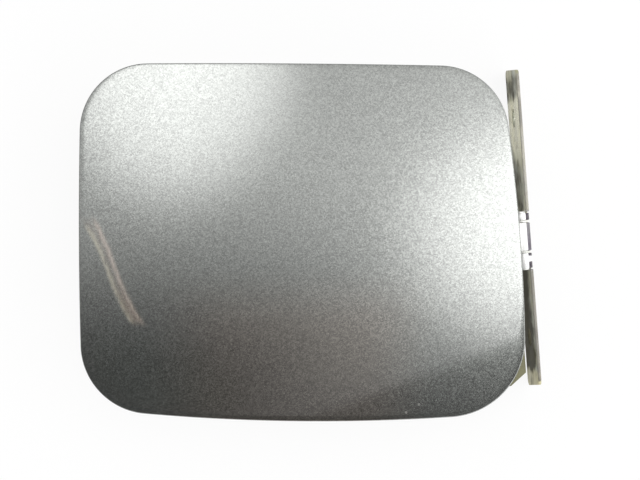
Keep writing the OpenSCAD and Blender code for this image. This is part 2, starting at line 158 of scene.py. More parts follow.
class FUELDOOR_PG_hinge(bpy.types.PropertyGroup):
    """The hinge's turned pieces"""

    pin_x: length("Pin X", "Place of the pin along X", -3)
    pin_y: length("Pin Y", "Middle of the pin along Y", -4.9)
    eye_y: length("Eye Y", "Middle of the leaf's eye along Y", -3.4)
    pin_z: length("Pin Z", "Place of the pin along Z", 12)
    pin_r: length("Pin", "Radius of the pin", 1.5)
    pin_l: length("Pin length", "Length of the pin between its heads", 20.6)
    head_r: length("Pin heads", "Radius of the pin's swaged heads", 1.7)
    head_t: length("Pin head height", "Height of the pin's swaged heads", 0.7)
    washer_r: length("Washer", "Outer radius of the washers", 2.7)
    washer_t: length("Washer thickness", "Thickness of the washers", 0.8)
    washer_fit: length("Washer fit", "Clearance of the washers on the pin", 0.04)
    washer_at: length("Washer place", "Distance of a washer from the eye's middle", 5.7)
    plate_ease: length("Plate edges", "Rounding of the base plate's edges", 0.22)
    leaf_ease: length("Leaf edges", "Rounding of the leaf's edges", 0.3)
    backing_ease: length("Backing edges", "Rounding of the leaf's backing plate", 0.15)
    spring_ease: length("Spring edges", "Rounding of the detent spring", 0.1)
    rivet_r: length("Spring rivet", "Radius of the spring rivet's shank", 1.6)
    rivet_dome: length("Spring rivet head", "Height of the spring rivet's head", 0.8)


class FUELDOOR_PG_fittings(bpy.types.PropertyGroup):
    """Rivets, stops and the cap holder"""

    rivet_r: length("Rivet", "Radius of a rivet's shank", 2)
    striker_rivet_x: length("Striker rivets X", "Place of the striker's rivets across the door", -50)
    striker_rivet_y: length("Striker rivets Y", "Place of the striker's rivets up the door", 7.6)
    striker_t: length("Striker sheet", "Thickness of the striker", 1.5)
    holder_x: length("Holder rivets X", "Distance of the holder's rivets from its middle", 15)
    holder_y: length("Holder place", "Place of the cap holder up the door", -32.5)
    holder_t: length("Holder plate", "Thickness of the cap holder's plate", 2.5)
    buffer_r: length("Buffer", "Radius of a stop buffer", 4)
    buffer_h: length("Buffer height", "Height of a stop buffer", 6)
    striker_ease: length("Striker edges", "Rounding of the striker's edges", 0.28)
    holder_ease: length("Holder edges", "Rounding of the cap holder's edges", 0.45)
    dimple: length("Dimple", "Depth of the dimple in the holder's rivets", 0.5)


class FUELDOOR_PG_colours(bpy.types.PropertyGroup):
    """Colours of the finishes"""

    paint: colour("Paint", "Metallic top coat", (0.235, 0.245, 0.232))
    primer: colour("Primer", "Olive primer on the inner sheet", (0.25, 0.255, 0.17))
    plating: colour("Plating", "Passivated zinc of the hinge", (0.43, 0.42, 0.28))
    zinc: colour("Zinc", "Bright zinc", (0.8, 0.8, 0.78))
    # the dirt tone also stands for the painted shade low on the hinge
    dirt: colour("Dirt", "Old dirt on the hinge", (0.045, 0.038, 0.016))
    rust: colour("Rust", "First rust on the hinge", (0.19, 0.09, 0.035))
    sealer: colour("Sealer", "Seam sealer", (0.5, 0.48, 0.38))
    rubber: colour("Rubber", "Stop buffers", (0.022, 0.022, 0.023))
    plastic: colour("Plastic", "Cap holder", (0.03, 0.03, 0.033))
    nylon: colour("Nylon", "Washers", (0.95, 0.95, 0.9))


class FUELDOOR_PG_stage(bpy.types.PropertyGroup):
    """Camera, floor and lights"""

    camera_x: length("Camera X", "Place of the camera along X", -78.64)
    camera_y: length("Camera Y", "Place of the camera along Y", 0.93)
    camera_z: length("Camera Z", "Place of the camera along Z", 497.2)
    lens: number("Lens", "Focal length, in millimetres", 72.97)
    floor: colour("Floor", "Colour of the floor", (0.93, 0.93, 0.93))
    walls: number("Walls", "Light from low down, at the right", 2.0)
    walls_far: number("Far walls", "Light from low down, elsewhere", 0.6)
    ceiling: number("Ceiling", "Faint light from everywhere", 0.045)
    key_at: spot("Key place", "Middle of the light at the top left", (-0.172, 0.232))
    key_reach: spot("Key size", "Half width and half height of the light at the top left", (0.182, 0.228))
    side_at: spot("Side place", "Middle of the light at the right", (0.359, 0.006))
    side_reach: spot("Side size", "Half width and half height of the light at the right", (0.304, 0.193))
    sky: number("Sky", "Soft light from beyond the door's top edge", 1.07)
    key: number("Key", "Strength of the soft light at the top left", 3.03)
    side: number("Side", "Strength of the soft light at the right", 2.88)
    fill: number("Fill", "Faint light from the right", 0.15)
    band: number("Band", "Strength of the wide light behind that at the right", 1.36)


def outline_arcs(size):
    """Middle, radius, first angle and sweep of the eight arcs round the door, clockwise from the top left.
    A side is an arc of a large circle that touches the circles of the two corners beside it from outside."""
    half_w, half_h = size.width / 2, size.height / 2
    round_r = np.array([size.corner_tl, size.corner_tr, size.corner_br, size.corner_bl])
    bow_r = np.array([size.bow_top, size.bow_right, size.bow_bottom, size.bow_left])
    corner = np.array([
        [-half_w + size.corner_tl, half_h - size.corner_tl],
        [half_w - size.slant_right - size.corner_tr, half_h - size.top_drop - size.corner_tr],
        [half_w - size.corner_br, -half_h + size.corner_br],
        [-half_w + size.left_inset + size.corner_bl, -half_h + size.slant_bottom + size.corner_bl],
    ])
    following = np.roll(corner, -1, 0)
    near, far = bow_r - round_r, bow_r - np.roll(round_r, -1)
    span = np.linalg.norm(following - corner, axis=1)
    ahead = (following - corner) / span[:, None]
    along = (near**2 - far**2 + span**2) / (2 * span)
    across = np.sqrt(near**2 - along**2)
    bow = corner + ahead * along[:, None] + np.stack([ahead[:, 1], -ahead[:, 0]], 1) * across[:, None]
    angles = [heading(corner - np.roll(bow, 1, 0)), heading(corner - bow), heading(following - bow)]
    sweep = [-np.mod(angles[0] - angles[1], 2 * pi), -np.mod(angles[1] - angles[2], 2 * pi)]

    def pair(corners, sides):
        """Corner and side values by turns"""
        return np.stack([corners, sides], 1).reshape((8,) + corners.shape[1:])

    return pair(corner, bow), pair(round_r, bow_r), pair(angles[0], angles[1]), pair(*sweep)


def heading(steps):
    """Angle of each step from the X axis"""
    return np.arctan2(steps[:, 1], steps[:, 0])


def outline(size):
    """Points round the door and the outward direction at each: arc middle plus its radius along the angle.
    A ring set in by d is then each point less d times its outward direction."""
    middle, radius, first, sweep = outline_arcs(size)
    angle = first[:, None] + sweep[:, None] * np.arange(STEPS) / STEPS
    outward = np.stack([np.cos(angle), np.sin(angle)], 2)
    ring = middle[:, None] + outward * (radius[:, None, None] - size.inset)
    return ring.reshape(-1, 2), outward.reshape(-1, 2)


def rounded_ring(width, height, radius, middle=(0, 0)):
    """Points round a rectangle with round corners, in the outline's own order.
    Corners are quarter circles about their middles, and sides run straight between them."""
    x, y = width / 2 - radius, height / 2 - radius
    corner = np.array([[-x, y], [x, y], [x, -y], [-x, -y]])
    share = np.arange(STEPS) / STEPS
    angle = np.array([pi, pi / 2, 0, -pi / 2])[:, None] - pi / 2 * np.append(share, 1)
    arc = corner[:, None] + radius * np.stack([np.cos(angle), np.sin(angle)], 2)
    side = arc[:, -1:] + (np.roll(arc[:, :1], -1, 0) - arc[:, -1:]) * share[:, None]
    return np.stack([arc[:, :-1], side], 1).reshape(-1, 2) + np.array(middle)


def bend(height, radius, draft, count=7):
    """Run and rise of a stamped step: a bend of the radius, a straight wall at the draft, a bend back.
    Bend: radius * sin a across and radius * (1 - cos a) up, for a from 0 to a right angle less the draft."""
    angle = np.linspace(0, pi / 2 - draft, count)
    run, rise = radius * np.sin(angle), radius * (1 - np.cos(angle))
    total = 2 * run[-1] + (height - 2 * rise[-1]) * np.tan(draft)
    return np.append(run, total - run[::-1]), np.append(rise, height - rise[::-1])


def in_frame(size, ring, level):
    """Turns points on the door by its turn, moves them to its middle and gives them their level"""
    x, y = np.moveaxis(np.asarray(ring), -1, 0)
    turned_x = size.middle_x + x * cos(size.turn) + y * sin(size.turn)
    turned_y = size.middle_y - x * sin(size.turn) + y * cos(size.turn)
    return np.stack([turned_x, turned_y, np.broadcast_to(level, x.shape)], -1)


def surface(rows, loop=False, capped=True):
    """Points and faces over a grid: every row is a ring that closes, and quads join each row to the next.
    The rows close into a loop, or each end row closes in one point at its middle, or both stay open."""
    rows = np.asarray(rows, float)
    count, columns = rows.shape[:2]
    index = np.arange(count * columns).reshape(count, columns)
    low = index if loop else index[:-1]
    high = np.roll(index, -1, 0) if loop else index[1:]
    quads = np.stack([low, np.roll(low, -1, 1), np.roll(high, -1, 1), high], 2).reshape(-1, 4)
    points, faces = rows.reshape(-1, 3), quads.tolist()
    if capped and not loop:
        points = np.concatenate([points, rows[[0, -1]].mean(1)])
        first, last = index[0], index[-1]
        pole = np.full(columns, count * columns)
        faces += np.stack([pole, np.roll(first, -1), first], 1).tolist()
        faces += np.stack([pole + 1, last, np.roll(last, -1)], 1).tolist()
    return points, faces


def outward_mesh(name, points, faces, sharp, down):
    """Mesh with faces that point outwards, found by the sign of its volume, or downwards for an open sheet.
    Edges that turn by more than the angle, in degrees, stay sharp."""
    mesh = bpy.data.meshes.new(name)
    mesh.from_pydata(points.tolist(), [], faces)
    tri = np.array([[f[0], f[i], f[i + 1]] for f in faces for i in range(1, len(f) - 1)])
    a, b, c = points[tri[:, 0]], points[tri[:, 1]], points[tri[:, 2]]
    facing = -np.cross(b - a, c - a)[:, 2].sum() if down else np.einsum("ij,ij->i", a, np.cross(b, c)).sum()
    if facing < 0:
        mesh.flip_normals()
    mesh.polygons.foreach_set("use_smooth", np.ones(len(mesh.polygons), bool))
    mesh.set_sharp_from_angle(angle=radians(sharp))
    return mesh


def place(name, mesh, material, body, nodes):
    """Shows a mesh with its material in place of CAD nodes, on the body that carries them"""
    piece = bpy.data.objects.new(name, mesh)
    bpy.context.scene.collection.objects.link(piece)
    mesh.materials.clear()
    mesh.materials.append(material)
    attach(piece, body)
    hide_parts(*nodes)
    return piece


def show(name, shape, sharp, material, body, slot, *nodes, down=False):
    """Makes a mesh of points and faces and places it"""
    return place(name, outward_mesh(name, *shape, sharp, down), material, body, nodes)


def eased_copy(node, name, width, material, body, segments=3):
    """A CAD solid with its doubles merged, its flat faces joined and its edges rounded by a bevel"""
    solid = bmesh.new()
    solid.from_mesh(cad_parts[node].data)
    bmesh.ops.remove_doubles(solid, verts=solid.verts, dist=2e-6)
    bmesh.ops.dissolve_limit(solid, angle_limit=radians(0.8), verts=solid.verts, edges=solid.edges)
    mesh = bpy.data.meshes.new(name)
    solid.to_mesh(mesh)
    solid.free()
    mesh.polygons.foreach_set("use_smooth", np.ones(len(mesh.polygons), bool))
    piece = place(name, mesh, material, body, [node])
    bevel = piece.modifiers.new("Eased edges", "BEVEL")
    bevel.width = width
    bevel.segments = segments
    bevel.limit_method = "ANGLE"
    bevel.angle_limit = radians(32)
    bevel.use_clamp_overlap = False
    bevel.harden_normals = True
    return piece


def turned(profile, middle, axis="Z", count=48):
    """Rows of a turned piece: a profile point (reach, height) goes round the axis through the middle.
    Point = middle + height along the axis + reach * cos t and reach * sin t across it."""
    profile = np.array(profile, float)
    angle = np.linspace(0, 2 * pi, count, endpoint=False)
    order = {"X": [1, 2, 0], "Y": [2, 0, 1], "Z": [0, 1, 2]}[axis]
    reach, height = profile[:, :1], np.repeat(profile[:, 1:], count, 1)
    rows = np.empty((len(profile), count, 3))
    rows[..., order] = np.stack([reach * np.cos(angle), reach * np.sin(angle), height], -1)
    return rows + np.array(middle)


def quarter(reach, height, radius, start, stop, count=5):
    """Profile points on a circle about (reach, height), from one angle to another, in degrees"""
    angle = np.radians(np.linspace(start, stop, count))
    return [(reach + radius * cos(a), height + radius * sin(a)) for a in angle]


def joined(parts):
    """One set of points and faces from several"""
    points, faces, shift = [], [], 0
    for some, theirs in parts:
        points.append(some)
        faces += [[i + shift for i in face] for face in theirs]
        shift += len(some)
    return np.concatenate(points), faces


def maths(operation, back=False):
    """A method that adds a Math node on a signal and another value, the other way round if back"""
    return lambda self, *other: self.math(operation, *((*other, self) if back else (self, *other)))


class Signal:
    """A node's output. Python's operators on it add Math nodes, so an expression on masks reads as written.
    a.at_least(b) is the greater of the two, and a.at_most(b) is the lesser."""

    def __init__(self, nodes, socket):
        self.nodes = nodes
        self.socket = socket

    def math(self, operation, *values):
        """A Math node on one or two values"""
        return self.nodes.add("ShaderNodeMath", {"operation": operation}, dict(enumerate(values)))

    __add__ = __radd__ = maths("ADD")
    __mul__ = __rmul__ = maths("MULTIPLY")
    __sub__ = maths("SUBTRACT")
    __rsub__ = maths("SUBTRACT", back=True)
    __truediv__ = maths("DIVIDE")
    __pow__ = maths("POWER")
    __abs__ = maths("ABSOLUTE")
    at_least = maths("MAXIMUM")
    at_most = maths("MINIMUM")

    def over(self, low, high):
        """0 below low and 1 above high with a soft step between, or the other way if low is above high"""
        settings = {"interpolation_type": "SMOOTHSTEP"}
        return self.nodes.add("ShaderNodeMapRange", settings, {0: self, 1: low, 2: high, 3: 0.0, 4: 1.0})


class Nodes:
    """A node tree that is being filled"""

    def __init__(self, tree):
        self.tree = tree
        tree.nodes.clear()

    def add(self, kind, settings=None, inputs=None, output=0):
        """A node of a kind, with its settings set first and then its sockets' values or links"""
        node = self.tree.nodes.new(kind)
        for key, value in (settings or {}).items():
            setattr(node, key, value)
        for key, value in (inputs or {}).items():
            if isinstance(value, Signal):
                self.tree.links.new(value.socket, node.inputs[key])
            elif node.inputs[key].type == "RGBA" and not isinstance(value, (int, float)):
                node.inputs[key].default_value = (*value, 1)
            else:
                node.inputs[key].default_value = value
        return Signal(self, node.outputs[output]) if node.outputs else None

    def vector(self, operation, first, second=None):
        """Vector maths on one vector, or on two, or on one and a number"""
        inputs = {0: first}
        if second is not None:
            inputs["Scale" if operation == "SCALE" else 1] = second
        return self.add("ShaderNodeVectorMath", {"operation": operation}, inputs)

    def split(self, vector):
        """The three parts of a vector"""
        node = self.add("ShaderNodeSeparateXYZ", None, {0: vector}).socket.node
        return [Signal(self, socket) for socket in node.outputs]

    def position(self, turn=0.0, stretch=(1, 1, 1), shift=(0, 0, 0)):
        """Object coordinates in millimetres, stretched, turned about Z and shifted"""
        here = self.add("ShaderNodeTexCoord", output="Object")
        size = tuple(s / MM for s in stretch)
        return self.add("ShaderNodeMapping", None, {0: here, 1: shift, 2: (0, 0, turn), 3: size})

    def noise(self, vector, scale, detail=3.0, roughness=0.55, distortion=0.0):
        """Soft noise between about 0.3 and 0.7"""
        inputs = {"Vector": vector, "Scale": scale, "Detail": detail, "Roughness": roughness}
        return self.add("ShaderNodeTexNoise", None, {**inputs, "Distortion": distortion})

    def cells(self, vector, scale, output=0):
        """Cells: output 0 is the distance to a cell's point, output 1 a colour for each cell"""
        return self.add("ShaderNodeTexVoronoi", None, {"Vector": vector, "Scale": scale}, output)

    def mix(self, mask, first, second, blend="MIX"):
        """First colour where the mask is 0, second where it is 1"""
        settings = {"data_type": "RGBA", "blend_type": blend, "clamp_factor": True}
        return self.add("ShaderNodeMix", settings, {0: mask, 6: first, 7: second}, 2)

    def bump(self, height, distance, strength=1.0):
        """Normal bent by a height, in metres of distance"""
        inputs = {"Height": height, "Distance": distance, "Strength": strength}
        return self.add("ShaderNodeBump", None, inputs)


def finish(name, build):
    """A material whose sockets come from a function that fills its nodes"""
    material = bpy.data.materials.new(name)
    material.use_nodes = True
    nodes = Nodes(material.node_tree)
    shader = nodes.add("ShaderNodeBsdfPrincipled", None, build(nodes))
    nodes.add("ShaderNodeOutputMaterial", None, {"Surface": shader})
    return material


def toned(tone, by):
    """A colour times one number, or times three"""
    return tuple(np.multiply(tuple(tone), by).tolist())


def on_door(nodes, size):
    """The door's own coordinates in millimetres: across, up and level"""
    x, y = -size.middle_x / MM, -size.middle_y / MM
    shift = (x * cos(size.turn) - y * sin(size.turn), x * sin(size.turn) + y * cos(size.turn), 0)
    vector = nodes.position(size.turn, shift=shift)
    return vector, nodes.split(vector)


def paint_finish(size, sheet, tones):
    """Dark grey metallic under a clear coat, with its flakes, a scuff, two chips and a little haze"""

    def build(n):
        vector, (across, up, level) = on_door(n, size)
        # the painted face alone: level plus the crown's fall, which is reach squared over twice its radius
        flat = level + (across * across + up * up) * (0.5 / (sheet.crown_r / MM))
        face = flat.over(sheet.crown_z / MM - 0.45, sheet.crown_z / MM - 0.2)
        # flakes: each cell has its own brightness, under a finer grain; the lower middle has a warm cast
        cells = n.cells(vector, 2.6, 1)
        flakes = n.split(cells)
        grain = n.noise(vector, 1.1, 4, 0.8)
        cloud = n.noise(vector, 0.035, 2, 0.5)
        sparkle = 0.58 + 0.54 * flakes[0] + 0.8 * (grain - 0.5) + 0.1 * (cloud - 0.5)
        base = n.mix(1.0, tones.paint, sparkle, "MULTIPLY")
        warm = across.over(-62, -25) * across.over(52, 20) * up.over(-8, -34) * face
        base = n.mix(warm * 0.5, base, n.mix(1.0, (0.27, 0.225, 0.19), sparkle, "MULTIPLY"))

        # the scuff: two worn lines, whose places across are cubics of the height, and a stain between them
        wander = n.noise(vector, 0.16, 3, 0.6) - 0.5
        breaks = n.noise(n.position(0.5, (1.6, 0.28, 1), (3, 1, 0)), 1.0, 4, 0.7)
        left = across + 76.6 + up * (0.5204 + up * (0.01255 + up * 0.00034)) + wander * 1.2
        right = across + 73.22 + up * (0.4242 + up * (0.00558 + up * 0.00022)) - wander * 1.1
        reach = up.over(-32.5, -29) * up.over(10, 4)
        foot = up.over(-12, -26)
        lines = (abs(left) + 0.5 * (breaks - 0.5)).over(1.8, 0.0) * up.over(7.5, 2.5)
        lines = lines.at_least((abs(right) + 0.5 * (breaks - 0.5)).over(1.7, 0.0))
        stain = left.over(-1.4, 0.8) * right.over(2.3, -0.6) * reach * face * (0.14 + 0.2 * foot)
        scrape = lines * breaks.over(0.2, 0.6) * (0.38 - 0.08 * foot) * reach * face
        chips = (across - 43.1) ** 2 + (up + 60.6) ** 2
        chips = chips.at_most((across - 38.3) ** 2 + (up + 63.5) ** 2).over(0.3, 0.12) * face
        base = n.mix(stain, base, (0.38, 0.27, 0.19))
        base = n.mix(scrape, base, n.mix(left.over(1.0, 2.2), (0.55, 0.52, 0.4), (0.6, 0.5, 0.44)))
        base = n.mix(chips * 0.3, base, (0.5, 0.5, 0.46))
        worn = scrape.at_least(chips * 0.3).at_least(stain * 0.6)

        # each flake leans by its cell's colour; haze and long smears dull the coat a little
        tilt = n.vector("SCALE", n.vector("SUBTRACT", cells, (0.5, 0.5, 0.5)), 0.013)
        leant = n.vector("ADD", n.add("ShaderNodeNewGeometry", output="Normal"), tilt)
        haze = n.noise(vector, 0.06, 4, 0.6)
        smear = n.noise(n.position(0.9, (0.9, 0.07, 1)), 1.0, 3, 0.5)
        return {
            "Base Color": base,
            "Metallic": 0.82 * (1 - worn),
            "Roughness": 0.1 + 0.06 * haze + 0.05 * smear + 0.3 * worn,
            "Coat Weight": 1.0 - 0.85 * worn,
            "Coat IOR": 1.75,
            "Coat Roughness": 0.035,
            "Normal": n.vector("NORMALIZE", leant),
        }

    return finish("Grey metallic paint", build)


def primer_finish(size, tones):
    """Olive primer: satin, with thin and thick places, dust that settled and a few rubbed spots"""

    def build(n):
        vector, _ = on_door(n, size)
        cloud = n.noise(vector, 0.07, 4, 0.6)
        speck = n.noise(vector, 1.4, 3, 0.6)
        base = n.mix(cloud.over(0.35, 0.68), tones.primer, toned(tones.primer, 0.72))
        base = n.mix(speck.over(0.62, 0.74) * 0.35, base, (0.36, 0.35, 0.26))
        dust = n.noise(vector, 0.16, 5, 0.65).over(0.46, 0.7) * 0.5
        base = n.mix(dust, base, (0.2, 0.165, 0.115))
        rub = n.noise(n.position(0.3, (0.8, 0.08, 0.3), (5, 2, 0)), 1.0, 4, 0.6).over(0.66, 0.7) * 0.5
        base = n.mix(rub, base, (0.5, 0.5, 0.44))
        return {
            "Base Color": base,
            "Metallic": 0.25 * rub,
            "Roughness": 0.44 + 0.22 * dust + 0.1 * speck,
            "Normal": n.bump(speck + cloud, 0.00003, 0.6),
        }

    return finish("Olive primer", build)


def plated_finish(name, tones, hinge, soil_and_shade_amount):
    """Yellow-green passivated zinc: clouded tint, drag marks along the sheet, dirt and painted shade low
    down, and first rust.
    A painted reflection pales the face towards the door. The knuckles and the eye are rubbed bright round
    the pin, with painted shade and a painted highlight on their side beside the plate."""

    def build(n):
        vector = n.position()
        x, y, z = n.split(vector)
        cloud = n.noise(vector, 0.09, 4, 0.6, 0.4)
        fine = n.noise(vector, 0.9, 4, 0.65)
        drag = n.noise(n.position(0, (2.2, 0.16, 2.2)), 1.0, 4, 0.6)
        base = n.mix(cloud.over(0.35, 0.66), tones.plating, toned(tones.plating, (0.9, 0.96, 1.22)))
        base = n.mix(drag.over(0.45, 0.7) * 0.35, base, (0.66, 0.65, 0.55))
        # soil and painted shade: bands and patches along the plate, thicker away from its top edge, broken
        # up by stains
        stain = n.noise(vector, 0.2, 5, 0.6)
        top = z.over(12.7, 12.95)
        row = y + 9 * (n.noise(vector, 0.11, 4, 0.65) - 0.5)
        band = (row.over(-12, -16) * row.over(-57, -52)).at_least(row.over(30, 18) * row.over(0, 2) * 0.55)
        patch = (row.over(-35, -41) * row.over(-55, -51.5)).at_least(row.over(47.5, 51) * row.over(60, 56))
        soil_and_shade = z.over(13.5, 2) * (0.25 + 0.72 * band) + 0.42 * patch + (stain - 0.5) * 1.6
        soil_and_shade = soil_and_shade.over(0.1, 0.95) * soil_and_shade_amount
        # painted reflection: the plate's face towards the door made pale, standing in for the lit floor it
        # mirrors, above a line that falls along Y
        painted_reflection = (z + 1.33 * y.at_least(24) - 32.5).over(-3, 4) * y.over(50, 47.5) * y.over(2, 6)
        painted_reflection = painted_reflection * (0.2 + 0.8 * y.over(20, 34)) * x.over(-1.6, -1.3) * x.over(-1.1, -1.17)
        rust = n.noise(vector, 0.35, 5, 0.7).over(0.56, 0.7) * (0.25 + 0.75 * band) * 0.6
        # rubbed: bright metal inside a circle round the pin; the flank, its side beside the plate, gets
        # painted shade
        rubbed = ((x - hinge.pin_x / MM) ** 2 + (z - hinge.pin_z / MM) ** 2).over(13.5, 10.0)
        rubbed = rubbed * abs(y - hinge.pin_y / MM).over(11.5, 10.6)
        shaded_flank = x.over(-1.9, -1.5) * z.over(10.6, 12.4) * (0.95 + 0.3 * (fine - 0.5))
        # layers: the painted reflection, rust, soil and painted shade in the dirt tone, the plate's top
        # edge, then the metal round the pin and its painted shade
        base = n.mix(painted_reflection * (0.75 + 0.5 * (stain - 0.5)), base, (0.95, 0.92, 0.63))
        base = n.mix(y.over(-53, -55) * 0.5, base, (0.66, 0.6, 0.36))
        base = n.mix(rust, base, tones.rust)
        base = n.mix(soil_and_shade * 0.88, base, tones.dirt)
        grey = 0.2 + 0.38 * y.over(2, -20).at_least(y.over(36, 40) * y.over(50, 47))
        corner = x.over(-4.5, -6) * row.over(-34, -44) * 0.94
        base = n.mix(top * 0.6, base, (0.46, 0.44, 0.41))
        base = n.mix(top * grey, base, (0.13, 0.12, 0.11))
        base = n.mix(top * corner, base, (0.155, 0.15, 0.087))
        base = n.mix(rubbed * 0.93, base, (0.93, 0.93, 0.92))
        # painted shade on the flank: greys along the notch, painted shadows at the washers' gaps, and a
        # painted highlight on the lower knuckle
        painted_shade_and_glint = n.mix(y.over(1.8, -8.6), (0.15, 0.145, 0.155), (0.09, 0.075, 0.105))
        painted_shade_and_glint = n.mix(y.over(2.2, 2.6).at_least(y.over(-9.0, -9.4)), painted_shade_and_glint, (0.025, 0.015, 0.03))
        painted_shade_and_glint = n.mix(y.over(-10.5, -10.8) * y.over(-12.9, -12.6), painted_shade_and_glint, (0.9, 0.9, 0.9))
        base = n.mix(rubbed * shaded_flank, base, painted_shade_and_glint)
        clean = 1 - soil_and_shade
        return {
            "Base Color": base,
            "Metallic": (0.35 + 0.4 * clean) * (1 - 0.8 * rust) * (1 - 0.2 * rubbed),
            "Roughness": 0.4 + 0.12 * fine + 0.28 * soil_and_shade - 0.05 * rubbed - 0.25 * painted_reflection,
            "Normal": n.bump(fine * 0.6 + drag + soil_and_shade * 1.5, 0.00004, 0.6),
        }

    return finish(name, build)


def steel_finish(name, tones, tint=(1, 1, 1), rough=0.28):
    """Bright zinc on steel: drawn lines, clouded shine, and grey dust in patches"""

    def build(n):
        vector = n.position()
        lines = n.noise(n.position(0.2, (3.5, 0.3, 3.5)), 1.0, 4, 0.6)
        cloud = n.noise(vector, 0.5, 4, 0.6)
        grey = toned(tones.zinc, tint)
        base = n.mix(cloud.over(0.35, 0.7), grey, toned(grey, 0.72))
        base = n.mix(n.noise(vector, 1.1, 5, 0.7).over(0.58, 0.74) * 0.55, base, (0.13, 0.115, 0.09))
        return {
            "Base Color": base,
            "Metallic": 0.92,
            "Roughness": rough + 0.2 * cloud + 0.08 * lines,
            "Normal": n.bump(lines + cloud, 0.00002, 0.5),
        }

    return finish(name, build)


def moulded_finish(name, tone, rough, grain, grime, depth=0.00002):
    """A moulded material: fine grain, slightly uneven gloss, dust that greys it"""

    def build(n):
        vector = n.position()
        pits = n.cells(vector, grain)
        cloud = n.noise(vector, 0.3, 4, 0.6)
        dust = n.noise(vector, 0.8, 5, 0.65).over(0.5, 0.75) * grime
        base = n.mix(cloud.over(0.3, 0.7), tuple(tone), toned(tone, 0.78))
        base = n.mix(dust, base, (0.27, 0.25, 0.2))
        return {
            "Base Color": base,
            "Roughness": rough + 0.12 * cloud + 0.15 * dust,
            "Normal": n.bump(pits + cloud, depth, 0.6),
        }

    return finish(name, build)


def sealer_finish(tones):
    """Brushed seam sealer: bristle lines across the bead, small pits, dirt that stuck to it"""

    def build(n):
        vector = n.position()
        bristle = n.noise(n.position(0.4, (1.4, 1.4, 3)), 1.0, 5, 0.7)
        lump = n.noise(vector, 0.35, 4, 0.6)
        base = n.mix(lump.over(0.35, 0.7), tones.sealer, toned(tones.sealer, 0.8))
        base = n.mix(n.noise(vector, 0.5, 5, 0.7).over(0.55, 0.72) * 0.6, base, (0.15, 0.125, 0.09))
        return {
            "Base Color": base,
            "Roughness": 0.55 + 0.2 * bristle,
            "Normal": n.bump(bristle + lump, 0.00012, 0.8),
        }

    return finish("Seam sealer", build)


class FUELDOOR_OT_outer_skin(bpy.types.Operator):
    """Build the painted outer skin with its crown, folded edge and hem flange"""

    bl_idname = "fueldoor.outer_skin"
    bl_label = "Outer Skin"

    def execute(self, context):
        size, sheet = context.scene.fueldoor_outline, context.scene.fueldoor_sheet
        edge, outward = outline(size)

        def ring(inset):
            """The outline less its outward direction times the inset"""
            return edge - outward * np.broadcast_to(inset, len(edge))[:, None]

        def crown(points, under=0.0):
            """Level on a ball: its middle plus the root of its radius squared less the reach squared"""
            reach = (points**2).sum(-1)
            return sheet.crown_z - sheet.crown_r + np.sqrt((sheet.crown_r - under) ** 2 - reach)

        # rings grow from the middle up to the border, and from there on they are set in from the outline
        border = 12 * MM
        core = ring(border)
        rows = [(core * k, crown(core * k)) for k in np.linspace(0.04, 1, 15)]
        rows += [(ring(d * MM), crown(ring(d * MM))) for d in (10, 8, 6, 4.5, 3.2, 2.2)]
        lean = np.arcsin((edge * outward).sum(1) / sheet.crown_r)
        start = sheet.fold_r * (1 - np.sin(lean))
        fold_z = crown(ring(start)) - sheet.fold_r * np.cos(lean)
        # the fold: a circle of fold_r from the crown's lean to upright, then one of back_r round to the hem
        for share in np.linspace(0, 1, 8):
            angle = lean + (pi / 2 - lean) * share
            rows.append((ring(sheet.fold_r * (1 - np.sin(angle))), fold_z + sheet.fold_r * np.cos(angle)))
        for angle in np.linspace(pi / 2, 0, 6):
            level = sheet.hem_z + sheet.back_r * (1 - cos(angle))
            rows.append((ring(sheet.back_r * (1 - sin(angle))), level))
        lip, end, top = sheet.lip, sheet.hem_w, sheet.hem_z + sheet.skin_t
        back = [(3 * MM, 0), (6 * MM, 0), (end - lip, 0), (end - lip * 0.3, lip * 0.3)]
        back += [(end, lip), (end, sheet.skin_t - lip), (end - lip, sheet.skin_t)]
        rows += [(ring(inset), sheet.hem_z + rise) for inset, rise in back]
        rows += [(ring(4 * MM), top), (ring(sheet.skin_t), top)]
        for inset in (sheet.skin_t, 3 * MM, 7 * MM, border):
            rows.append((ring(inset), crown(ring(inset), sheet.skin_t)))
        rows += [(core * k, crown(core * k, sheet.skin_t)) for k in np.linspace(0.88, 0.08, 8)]
        grid = np.stack([in_frame(size, points, level) for points, level in rows])
        paint = paint_finish(size, sheet, context.scene.fueldoor_colours)
        show("outer_skin", surface(grid), 35, paint, "door", "paint", "outer_panel")
        return {"FINISHED"}


